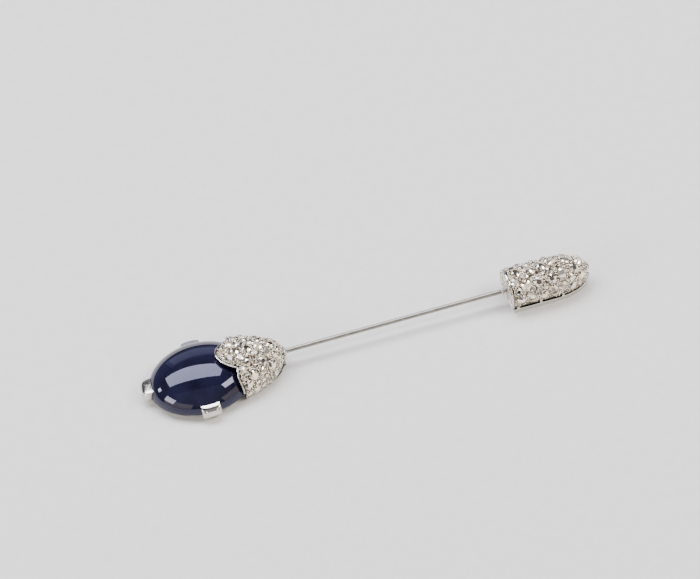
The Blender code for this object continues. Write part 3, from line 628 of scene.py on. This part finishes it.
# --- Choosing where the stones go ---
class Bed:
    """A surface to be set with stones: random places on it, and the points of its edges."""

    def __init__(self, places, edges):
        self.points = np.array([p for p, _ in places])
        self.normals = np.array([n for _, n in places])
        edge = np.array(edges)
        self.room = np.empty(len(places))
        for i, point in enumerate(self.points):
            self.room[i] = np.sqrt(((edge - point) ** 2).sum(1).min())
        self.stones = []  # (centre, normal, radius) each, as for the grains
        self.grains = []

    def add_cad_stones(self, prefix):
        """The larger stones stand where the CAD model has them."""
        names = sorted(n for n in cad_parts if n.startswith(prefix))
        for name in names:
            corners = np.array([v.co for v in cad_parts[name].data.vertices]) / MM
            centre = corners.mean(0)
            normal = self.normals[np.argmin(((self.points - centre) ** 2).sum(1))]
            height = (corners - centre) @ normal
            radius = float(np.linalg.norm(corners - centre - np.outer(height, normal), axis=1).max())
            girdle = centre + normal * (height.max() - CROWN_HEIGHT * radius)
            self.stones.append((girdle, normal, radius))
        return names

    def fill(self, radii, gap, limit, rng):
        """Set stones wherever one fits, largest first; limit gives the largest radius at a point."""
        order = list(range(len(self.points)))
        centres = np.array([s[0] for s in self.stones]).reshape(-1, 3)
        sizes = np.array([s[2] for s in self.stones])
        for radius in radii:
            rng.shuffle(order)
            for i in order:
                if self.room[i] < radius + EDGE_MARGIN or radius > limit(self.points[i]):
                    continue
                own = radius * (1 + SIZE_SPREAD * math.sin(37.0 * i))
                away = np.sqrt(((centres - self.points[i]) ** 2).sum(1))
                if (away < sizes + own + gap).any():
                    continue
                place = self.points[i] - self.normals[i] * GIRDLE_SINK
                self.stones.append((place, self.normals[i], own))
                centres = np.vstack([centres, place])
                sizes = np.append(sizes, own)

    def add_grains(self, radius, spacing, rng):
        """Stand grains of metal in the gaps beside the stones."""
        nearest, farthest = (share * radius for share in GRAIN_REACH)
        centres = np.array([s[0] for s in self.stones])
        sizes = np.array([s[2] for s in self.stones])
        order = list(range(len(self.points)))
        rng.shuffle(order)
        placed = np.empty((0, 3))
        for i in order:
            point = self.points[i]
            clear = np.sqrt(((centres - point) ** 2).sum(1)) - sizes
            if self.room[i] < radius or clear.min() < nearest or clear.min() > farthest:
                continue
            if len(placed) and (((placed - point) ** 2).sum(1) < spacing**2).any():
                continue
            placed = np.vstack([placed, point])
            own = radius * (0.85 + 0.3 * rng.random())
            self.grains.append((point, self.normals[i], own))


def random_places(surface, normal, first_range, rng):
    """Random points of a curved surface, from wall to wall, each with its normal."""
    places = []
    for _ in range(LARGE_BED_PLACES):
        second = rng.uniform(*FOOT_ANGLES)
        low, high = first_range(second)
        first = rng.uniform(low, high)
        places.append((tuple(surface(first, second)), tuple(normal(first, second))))
    return places


# --- Stones, grains and the metal they sit in ---
def stone_points(radius, rng):
    """An old-cut stone: small table, high crown, mains, stars and halves, small open culet."""
    table = rng.uniform(0.44, 0.54)
    crown = rng.uniform(0.32, 0.38)
    levels = {  # corners, radius, height and turn
        "table": (8, table, crown, 0.0), "star": (8, 0.5 * (table + 1.02), crown * 0.56, 0.5),
        "girdle": (16, 1.0, 0.04, 0.0), "under": (16, 1.0, -0.04, 0.0),
        "pavilion": (8, 0.46, -0.36, 0.5), "culet": (8, 0.09, -0.60, 0.0),
    }
    wobble = [1 + rng.uniform(-0.035, 0.035) for _ in range(16)]
    rings = {}
    for name, (count, reach, height, shift) in levels.items():
        ring = []
        for i in range(count):
            angle = math.tau * (i + shift) / count
            own = wobble[i] if count == len(wobble) else 1.0
            ring.append((radius * reach * own * math.cos(angle), radius * reach * own * math.sin(angle),
                         radius * height))
        rings[name] = ring
    return rings


def stone_faces(start):
    """The facets of one stone, as corner numbers from its rings, in the order of stone_points."""
    ring_starts = (0, 8, 16, 32, 48, 56)  # table, star, girdle, under, pavilion, culet
    t, s, g, u, p, c = (start + first for first in ring_starts)
    faces = [[t + i for i in range(8)]]
    for i in range(8):
        j = (i + 1) % 8
        faces.append([t + i, s + i, t + j])
        faces.append([t + j, s + i, g + 2 * j, s + j])
        faces.append([s + i, g + 2 * i, g + 2 * i + 1])
        faces.append([s + i, g + 2 * i + 1, g + 2 * j])
        faces.append([p + i, u + 2 * i + 1, u + 2 * i])
        faces.append([p + i, u + 2 * j, u + 2 * i + 1])
        faces.append([c + j, p + j, u + 2 * j, p + i])
        faces.append([c + i, c + j, p + i])
    for i in range(16):
        j = (i + 1) % 16
        faces.append([g + i, u + i, u + j, g + j])
    faces.append([c + i for i in reversed(range(8))])
    return faces


def upright_on(normal):
    """The turn that stands a shape drawn along Z on a surface."""
    return Vector(normal).to_track_quat("Z", "Y").to_matrix()


def make_stones(name, bed, body, replaced, rng):
    """All of a bed's stones as one piece, each facet with a painted sparkle of its own: a brightness that
    stands in for the light the stone returns.
    """
    points, faces, painted_sparkles = [], [], []
    for centre, normal, radius in bed.stones:
        turn = upright_on(normal) @ Matrix.Rotation(rng.uniform(0, math.tau), 3, "Z")
        tilt = Matrix.Rotation(rng.uniform(-STONE_TILT, STONE_TILT), 3, "X")
        own_faces = stone_faces(len(points))
        for ring in stone_points(radius, rng).values():
            points += [Vector(centre) + turn @ tilt @ Vector(p) for p in ring]
        faces += own_faces
        # Painted sparkle: each facet gets a random brightness, shifted up or down for the whole stone.
        lift = rng.uniform(-SPARKLE_LIFT, SPARKLE_LIFT)
        painted_sparkles += [min(1.0, max(0.0, rng.betavariate(*SPARKLE_SPREAD) + lift)) for _ in own_faces]
    mesh = bpy.data.meshes.new(name)
    mesh.from_pydata([tuple(p) for p in points], [], faces)
    painted_sparkle = mesh.attributes.new("facet_painted_sparkle", "FLOAT", "FACE")
    painted_sparkle.data.foreach_set("value", painted_sparkles)
    bm = bmesh.new()
    bm.from_mesh(mesh)
    bmesh.ops.recalc_face_normals(bm, faces=bm.faces)
    bm.to_mesh(mesh)
    bm.free()
    add_piece(name, mesh, DIAMOND, body, replaced, 0.0)


def make_grains(name, bed, body):
    """The raised beads of metal that hold the stones down."""
    bm = bmesh.new()
    sides, rows = 10, 4
    flatness = 0.9
    for centre, normal, radius in bed.grains:
        turn = upright_on(normal)
        rings = []
        for row in range(-1, rows):
            angle = math.pi / 2 * row / rows
            ring = []
            for i in range(sides):
                around = math.tau * i / sides
                local = Vector((math.cos(around) * math.cos(angle), math.sin(around) * math.cos(angle),
                                flatness * math.sin(angle))) * radius
                ring.append(bm.verts.new(Vector(centre) + turn @ local))
            rings.append(ring)
        for low, high in zip(rings, rings[1:]):
            for i in range(sides):
                j = (i + 1) % sides
                bm.faces.new((low[i], low[j], high[j], high[i]))
        bm.faces.new(rings[-1])
        bm.faces.new(list(reversed(rings[0])))
    bmesh.ops.recalc_face_normals(bm, faces=bm.faces)
    mesh = bpy.data.meshes.new(name)
    bm.to_mesh(mesh)
    bm.free()
    add_piece(name, mesh, GRAIN, body, (), 75.0)


def cut_pockets(grid, normals, bed):
    """Push the metal down in a bowl under each stone, and up a little in a bright-cut edge around it."""
    points = np.array([[tuple(p) for p in row] for row in grid])
    outward = np.array([[tuple(n) for n in row] for row in normals])
    shift = np.zeros(points.shape[:2])
    for centre, normal, radius in bed.stones:
        away = points - np.array(centre)
        height = away @ np.array(normal)
        radial = np.sqrt(np.maximum(0.0, (away**2).sum(2) - height**2)) / radius
        near = np.abs(height) < POCKET_RANGE
        in_bowl = near & (radial < POCKET_REACH)
        on_edge = near & (radial >= POCKET_REACH) & (radial < POCKET_REACH + BRIGHT_CUT_WIDTH)
        bowl_depth = -POCKET_DEPTH * np.maximum(0.0, 1 - (radial / POCKET_REACH) ** 2) ** 0.4
        edge_height = BRIGHT_CUT_HEIGHT * np.sin((radial - POCKET_REACH) / BRIGHT_CUT_WIDTH * math.pi)
        bowl = np.where(in_bowl, bowl_depth, 0.0)
        edge = np.where(on_edge, edge_height, 0.0)
        raised = np.where(shift < 0, shift, np.maximum(shift, edge))
        shift = np.where(bowl < 0, np.minimum(shift, bowl), raised)
    return points + outward * shift[..., None]


def set_with_stones(node_prefix, body, grid, normals, bed, replaced, rng):
    """The pocketed metal that stands for a CAD shell, with its stones and its grains."""
    name = node_prefix + "_ground"
    outer = [[Vector(point) for point in row] for row in cut_pockets(grid, normals, bed)]
    inner = [[point - normal * GROUND_THICKNESS for point, normal in zip(row, normal_row)]
             for row, normal_row in zip(grid, normals)]
    mesh = thick_sheet(name, outer, inner)
    add_piece(name, mesh, SATIN, body, [node_prefix + "_shell"], 50.0)
    make_stones(node_prefix + "_diamonds", bed, body, replaced, rng)
    make_grains(node_prefix + "_grains", bed, body)


def across_angles(arc_steps):
    """Surface angles from the foot of one side wall over the top to the foot of the other."""
    wall = [WALL_ANGLE * i / WALL_STEPS for i in range(WALL_STEPS, 0, -1)]
    arc = [math.pi * i / arc_steps for i in range(arc_steps + 1)]
    return [-a for a in wall] + arc + [math.pi + a for a in reversed(wall)]


def cap_bed(angles, rims, rng):
    """The cap's bed of stones, and the CAD stones that it takes in. Stones grow away from the nose."""
    foot_steps = 60
    edge_points = [tuple(cap_point(rims[a], a)) for a in angles]
    for side in FOOT_ANGLES:
        foot = [rims[angles[0]] * i / foot_steps for i in range(foot_steps + 1)]
        edge_points += [tuple(cap_point(distance, side)) for distance in foot]
    rim_distances = [rims[angle] for angle in angles]

    def reach(angle):
        return 0.05, float(np.interp(angle, angles, rim_distances))

    def limit(point):
        return 0.30 + 0.22 * max(0.0, CAP_NOSE_X - point[0])

    bed = Bed(random_places(cap_point, cap_normal, reach, rng), edge_points)
    replaced = bed.add_cad_stones("cap_diamond_")
    bed.fill(CAP_STONES, STONE_GAP, limit, rng)
    bed.add_grains(GRAIN_RADIUS, GRAIN_SPACING, rng)
    return bed, replaced


def cap_grid(angles, rims):
    """The cap's points and normals: three rings across the nose, then rows back to the scalloped edge."""
    rows = 104
    nose_shares = (0.72, 0.86, 0.95)
    nose_bulge = 0.10
    nose_skip = 0.02  # the normals of the first row are read this far behind the nose
    grid, normals = [], []
    for share in nose_shares:
        x = CAP_NOSE_X + nose_bulge * (1 - share)
        ring = [cap_point(0.0, angle) for angle in angles]
        grid.append([Vector((x, p.y * share, AXIS_Z + (p.z - AXIS_Z) * share)) for p in ring])
        normals.append([Vector((1, 0, 0)) for _ in ring])
    for i in range(rows + 1):
        share = i / rows
        grid.append([cap_point(rims[a] * share, a) for a in angles])
        normals.append([cap_normal(max(nose_skip, rims[a] * share), a) for a in angles])
    return grid, normals


def make_cap():
    rng = random.Random(SEED)
    angles = across_angles(130)
    rims = {angle: rim_distance(angle) for angle in angles}
    bed, replaced = cap_bed(angles, rims, rng)
    grid, normals = cap_grid(angles, rims)
    set_with_stones("cap", "pin", grid, normals, bed, replaced, rng)


def make_cap_rim():
    """The bright wire along the scalloped edge."""
    set_off = RIM_WIRE_RADIUS + FIT_GAP
    steps = 150
    curve = bpy.data.curves.new("cap_bright_rim", "CURVE")
    curve.dimensions = "3D"
    curve.bevel_depth = RIM_WIRE_RADIUS * MM
    curve.bevel_resolution = 4
    curve.use_fill_caps = True
    spline = curve.splines.new("POLY")
    spline.points.add(steps)
    for i in range(steps + 1):
        angle = RIM_WIRE_END + (math.pi - 2 * RIM_WIRE_END) * i / steps
        distance = rim_distance(angle, set_off)
        point = cap_point(distance, angle) - cap_normal(distance, angle) * RIM_WIRE_RADIUS
        spline.points[i].co = (*(point * MM), 1.0)
    curve.materials.append(POLISHED)
    add_rider("cap_bright_rim", curve, "pin", ["cap_rim"])


# --- The stem ---
def add_turned(name, profile, material, node):
    """A piece turned about the pin's own axis, which belongs to the pin."""
    mesh = turned(name, profile, middle("stem"), steps=40)
    add_piece(name, mesh, material, "pin", [node])


def make_stem():
    """The stem from its rounded point, over the spring's groove and the shoulder, back into the cap."""
    low, high = box_mm("stem")
    taper_steps, shaft_steps = 6, 40
    tip = high.x - POINT_ROUND
    profile = [(high.x, 0.0), (tip, POINT_RADIUS)]
    for k in range(1, taper_steps + 1):
        growth = math.sin(math.pi / 2 * k / taper_steps)
        radius = POINT_RADIUS + (NEEDLE_RADIUS - POINT_RADIUS) * growth
        profile.append((tip - POINT_TAPER * k / taper_steps, radius))
    groove_front = middle("catch_spring").x + GROOVE_HALF
    groove_back = middle("catch_spring").x - GROOVE_HALF
    profile += [
        (groove_front + GROOVE_BEVEL, NEEDLE_RADIUS), (groove_front, NEEDLE_RADIUS - GROOVE_BEVEL),
        (groove_front, GROOVE_RADIUS), (groove_back, GROOVE_RADIUS),
        (groove_back, NEEDLE_RADIUS - GROOVE_BEVEL), (groove_back - GROOVE_BEVEL, NEEDLE_RADIUS),
    ]
    bead = middle("stem_stop_bead").x
    profile += [(bead - behind, radius) for behind, radius in SHOULDER]
    shaft_start = bead - SHOULDER[-1][0]
    length = shaft_start - low.x
    profile += [(shaft_start - length * k / shaft_steps, STEM_RADIUS) for k in range(1, shaft_steps)]
    profile += [(low.x, STEM_RADIUS), (low.x, 0.0)]
    add_turned("polished_stem", profile, SHADED_STEM_METAL, "stem")


def make_stop_bead():
    """The half-round ring on the needle, in front of the shoulder."""
    low, high = box_mm("stem_stop_bead")
    bead = middle("stem_stop_bead").x
    bore = NEEDLE_RADIUS + 0.03
    half_length = (high.x - low.x) / 2
    rise = (high.z - low.z) / 2 - bore
    steps = 14
    loop = []
    for i in range(steps + 1):
        angle = math.pi * i / steps
        loop.append((bead + half_length * math.cos(angle), bore + rise * math.sin(angle)))
    add_turned("stop_bead", loop, POLISHED, "stem_stop_bead")


def make_socket():
    """The ferrule: a small rolled mouth, a flare up to the cap's nose, and a tube inside the cap."""
    low, high = box_mm("stem_socket")
    bore = STEM_RADIUS + 0.03
    neck = 0.56
    flare = (high.z - low.z) / 2
    flare_start = high.x - 0.08
    flare_length = high.x - CAP_NOSE_X - 0.12
    nose_face = CAP_NOSE_X + 0.03
    loop = [(high.x, bore), (high.x, bore + 0.07), (high.x - 0.03, bore + 0.11)]
    steps = 8
    for k in range(steps + 1):
        share = k / steps
        radius = neck + (flare - neck) * math.sin(math.pi / 2 * share)
        loop.append((flare_start - flare_length * share, radius))
    loop += [(nose_face, flare - 0.02), (nose_face, SOCKET_RADIUS), (low.x, SOCKET_RADIUS), (low.x, bore)]
    add_turned("stem_ferrule", loop, POLISHED, "stem_socket")


# --- The terminal ---
def any_size(_point):
    """No limit but the bed's own room: larger than any stone that is tried."""
    return 1.0


def make_terminal():
    rng = random.Random(SEED + 1)
    angles = across_angles(96)
    start = SHELL_LOW.x
    end = TERMINAL_TURN_X + TERMINAL_NOSE
    straight_rows, nose_rows = 76, 48
    rows_x = [start + (TERMINAL_TURN_X - start) * i / straight_rows for i in range(straight_rows)]
    nose_angles = [math.pi / 2 * i / nose_rows for i in range(nose_rows + 1)]
    rows_x += [TERMINAL_TURN_X + TERMINAL_NOSE * math.sin(angle) for angle in nose_angles]
    edge_points = [tuple(terminal_point(start, a)) for a in angles]
    for side in FOOT_ANGLES:
        edge_points += [tuple(terminal_point(x, side)) for x in rows_x]

    def reach(_angle):
        return start, end - 0.02

    bed = Bed(random_places(terminal_point, terminal_normal, reach, rng), edge_points)
    replaced = bed.add_cad_stones("terminal_diamond_")
    bed.fill(TERMINAL_STONES, STONE_GAP, any_size, rng)
    bed.add_grains(GRAIN_RADIUS, GRAIN_SPACING, rng)
    grid = [[terminal_point(x, a) for a in angles] for x in rows_x]
    normals = [[terminal_normal(x, a) for a in angles] for x in rows_x]
    set_with_stones("terminal", "terminal", grid, normals, bed, replaced, rng)


def arch_reach(angle, low, high):
    """How far the entry plate's outline lies from the pin's axis, at an angle around it."""
    direction = Vector((math.cos(angle), math.sin(angle)))
    half_width = high.y
    floor = AXIS_Z - low.z
    distances = []
    if direction.y < 0:
        distances.append(floor / -direction.y)
    if abs(direction.x) > 1e-9:
        wall = half_width / abs(direction.x)
        if AXIS_Z + wall * direction.y <= TERMINAL_SPRING:
            distances.append(wall)
    if distances:
        return min(distances)
    dome = high.z - TERMINAL_SPRING
    a = (direction.x / half_width) ** 2 + (direction.y / dome) ** 2
    lift = AXIS_Z - TERMINAL_SPRING
    b = 2 * lift * direction.y / dome**2
    c = (lift / dome) ** 2 - 1
    return (-b + math.sqrt(b * b - 4 * a * c)) / (2 * a)


def mouth_ring(x, inset, sides=128):
    """The mouth's arch, drawn in by an inset, or its round hole when the inset is None."""
    low, high = box_mm("entry_plate")
    ring = []
    for i in range(sides):
        angle = math.tau * i / sides
        reach = ENTRY_HOLE if inset is None else arch_reach(angle, low, high) - inset
        ring.append((x, reach * math.cos(angle), AXIS_Z + reach * math.sin(angle)))
    return ring


def make_entry_plate():
    """The mouth: a bright raised edge, a sunk face with a round hole, and small stones all over it."""
    low, high = box_mm("entry_plate")
    lip = 0.14
    rounding = 0.05
    face_x = low.x + ENTRY_RECESS
    levels = ((high.x, None), (high.x, lip), (face_x, lip), (face_x, None))
    face = skin("terminal_mouth_face", [mouth_ring(x, inset) for x, inset in levels], ring_loop=True)
    add_piece("terminal_mouth_face", face, MOUTH, "terminal", ["entry_plate"], 30.0)
    levels = ((high.x, lip), (high.x, rounding), (high.x - rounding, 0.0), (low.x + rounding, 0.0),
              (low.x, rounding), (low.x, lip - rounding), (low.x + rounding, lip))
    edge = skin("terminal_mouth_edge", [mouth_ring(x, inset) for x, inset in levels], ring_loop=True)
    add_piece("terminal_mouth_edge", edge, POLISHED, "terminal", (), 50.0)
    rng = random.Random(SEED + 2)
    places = []
    while len(places) < MOUTH_PLACES:
        y = rng.uniform(low.y, high.y)
        z = rng.uniform(low.z, high.z)
        reach = math.hypot(y, z - AXIS_Z)
        limit = arch_reach(math.atan2(z - AXIS_Z, y), low, high) - lip
        if ENTRY_HOLE < reach < limit:
            places.append(((face_x, y, z), (-1.0, 0.0, 0.0)))
    bed = Bed(places, mouth_ring(face_x, lip) + mouth_ring(face_x, None))
    bed.fill(MOUTH_STONES, MOUTH_STONE_GAP, any_size, rng)
    bed.add_grains(MOUTH_GRAIN_RADIUS, MOUTH_GRAIN_SPACING, rng)
    make_stones("mouth_diamonds", bed, "terminal", (), rng)
    make_grains("mouth_grains", bed, "terminal")


def make_terminal_back():
    """The flat plate under the terminal, with softly rounded edges."""
    low, high = box_mm("terminal_back_plate")
    half_width = high.y
    nose = high.x - TERMINAL_TURN_X
    arc_steps = 40
    rounding = 0.06
    third = rounding / 3
    levels = ((low.z, rounding), (low.z + third, third), (low.z + rounding, 0.0), (high.z - rounding, 0.0),
              (high.z - third, third), (high.z, rounding))
    rings = []
    for height, inset in levels:
        angles = [math.pi * (i / arc_steps - 0.5) for i in range(arc_steps + 1)]
        ring = [(low.x + inset, -half_width + inset, height)]
        ring += [(TERMINAL_TURN_X + (nose - inset) * math.cos(a), (half_width - inset) * math.sin(a), height)
                 for a in angles]
        ring.append((low.x + inset, half_width - inset, height))
        rings.append(ring)
    mesh = skin("terminal_back", rings)
    add_piece("terminal_back", mesh, POLISHED, "terminal", ["terminal_back_plate"], 30.0)


def finish_cad_nodes():
    """Hidden works and the cap's back keep their CAD solids and get a worked metal."""
    looks = {"cap_back_plate": POLISHED, "front_bearing": INNER, "rear_bearing": INNER, "catch_tube": INNER,
             "catch_end_plug": INNER, "catch_spring": SPRING}
    for node, material in looks.items():
        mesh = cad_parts[node].data
        mesh.materials.clear()
        mesh.materials.append(material)


# --- Floor, light and camera ---
def make_floor():
    """A wide plain floor, a hair below the pin's flat backs."""
    half = 900.0
    drop = 0.03
    bm = bmesh.new()
    bmesh.ops.create_grid(bm, x_segments=8, y_segments=8, size=half)
    bmesh.ops.translate(bm, verts=bm.verts, vec=(0, 0, -drop))
    mesh = bpy.data.meshes.new("floor")
    bm.to_mesh(mesh)
    bm.free()
    mesh.transform(Matrix.Scale(MM, 4))
    mesh.materials.append(FLOOR)
    add_object("floor", mesh)


def area_light(name, place, aim, size, power, colour, roll=0.0):
    """A soft rectangle of light, with its place, aim and size in millimetres."""
    light = bpy.data.lights.new(name, "AREA")
    light.shape = "RECTANGLE"
    light.size = size[0] * MM
    light.size_y = size[1] * MM
    light.energy = power
    light.color = colour
    item = add_object(name, light)
    item.location = Vector(place) * MM
    direction = (Vector(aim) - Vector(place)).normalized()
    turn = direction.to_track_quat("-Z", "Y").to_matrix() @ Matrix.Rotation(roll, 3, "Z")
    item.rotation_euler = turn.to_euler()


def toward(azimuth, elevation, distance):
    """A place seen from the cabochon at an azimuth from +X and an elevation, in degrees."""
    flat = distance * math.cos(math.radians(elevation))
    return (STONE_X + flat * math.cos(math.radians(azimuth)), flat * math.sin(math.radians(azimuth)),
            GIRDLE_Z + distance * math.sin(math.radians(elevation)))


def make_lights():
    aim = (STONE_X, 0, GIRDLE_Z)
    lavender = (0.93, 0.92, 1.0)
    white = (1.0, 0.98, 0.95)
    blue = (0.72, 0.74, 1.0)
    amber = (1.0, 0.82, 0.58)
    area_light("overhead_softbox", (-95, 255, 600), aim, (860, 320), 9.5, lavender, math.radians(-24))
    area_light("warm_left", toward(-145, 14, 600), aim, (640, 260), 1.0, amber)
    area_light("warm_right", toward(-35, 14, 600), aim, (640, 260), 1.0, amber)
    area_light("back_card", toward(88, 23, 700), aim, (560, 340), 0.24, blue)
    area_light("back_card_core", toward(88, 23, 690), aim, (450, 240), 0.20, blue)
    area_light("left_panel", toward(-164, 23, 620), aim, (240, 200), 2.2, white)
    area_light("left_corner", toward(159, 21, 620), aim, (80, 110), 0.6, white)
    area_light("right_panel", toward(-18, 46, 620), aim, (330, 150), 3.0, white, math.radians(-32))
    area_light("front_fill", toward(-95, 42, 800), aim, (1700, 1000), 1.5, lavender)
    world = bpy.data.worlds.new("studio")
    world.use_nodes = True
    background = world.node_tree.nodes["Background"].inputs
    background["Color"].default_value = (0.72, 0.74, 0.80, 1.0)
    background["Strength"].default_value = 0.16
    bpy.context.scene.world = world


def make_camera():
    """The camera stands where the pin is seen from in front, to the left and well above."""
    azimuth = math.radians(-9.98)
    elevation = math.radians(47.74)
    roll = math.radians(-7.9)
    distance = 508.0
    aim = Vector((-0.16, 9.31, AXIS_Z))
    back = Vector((math.sin(azimuth) * math.cos(elevation), -math.cos(azimuth) * math.cos(elevation),
                   math.sin(elevation)))
    right = Vector((0, 0, 1)).cross(back).normalized()
    up = back.cross(right)
    turned_right = right * math.cos(roll) + up * math.sin(roll)
    turned_up = up * math.cos(roll) - right * math.sin(roll)
    optics = bpy.data.cameras.new("camera")
    optics.sensor_width = 36.0
    optics.lens = 156.886
    optics.clip_start = 0.01
    optics.clip_end = 10.0
    camera = add_object("camera", optics)
    turn = Matrix((turned_right, turned_up, back)).transposed()
    camera.matrix_world = Matrix.Translation((aim + back * distance) * MM) @ turn.to_4x4()
    bpy.context.scene.camera = camera


# --- Build ---
make_cabochon()
oval_band("seat_ring", "stone_seat", 0.84, 0.10)
oval_band("gallery_oval", "gallery_rail", 0.78, 0.08)
make_posts("gallery_pillar", "gallery_post", 8, "pin")
make_claws()
make_cap()
make_cap_rim()
make_stem()
make_stop_bead()
make_socket()
make_terminal()
make_entry_plate()
make_terminal_back()
make_posts("terminal_pillar", "terminal_post", 6, "terminal")
finish_cad_nodes()
make_floor()
make_lights()
make_camera()
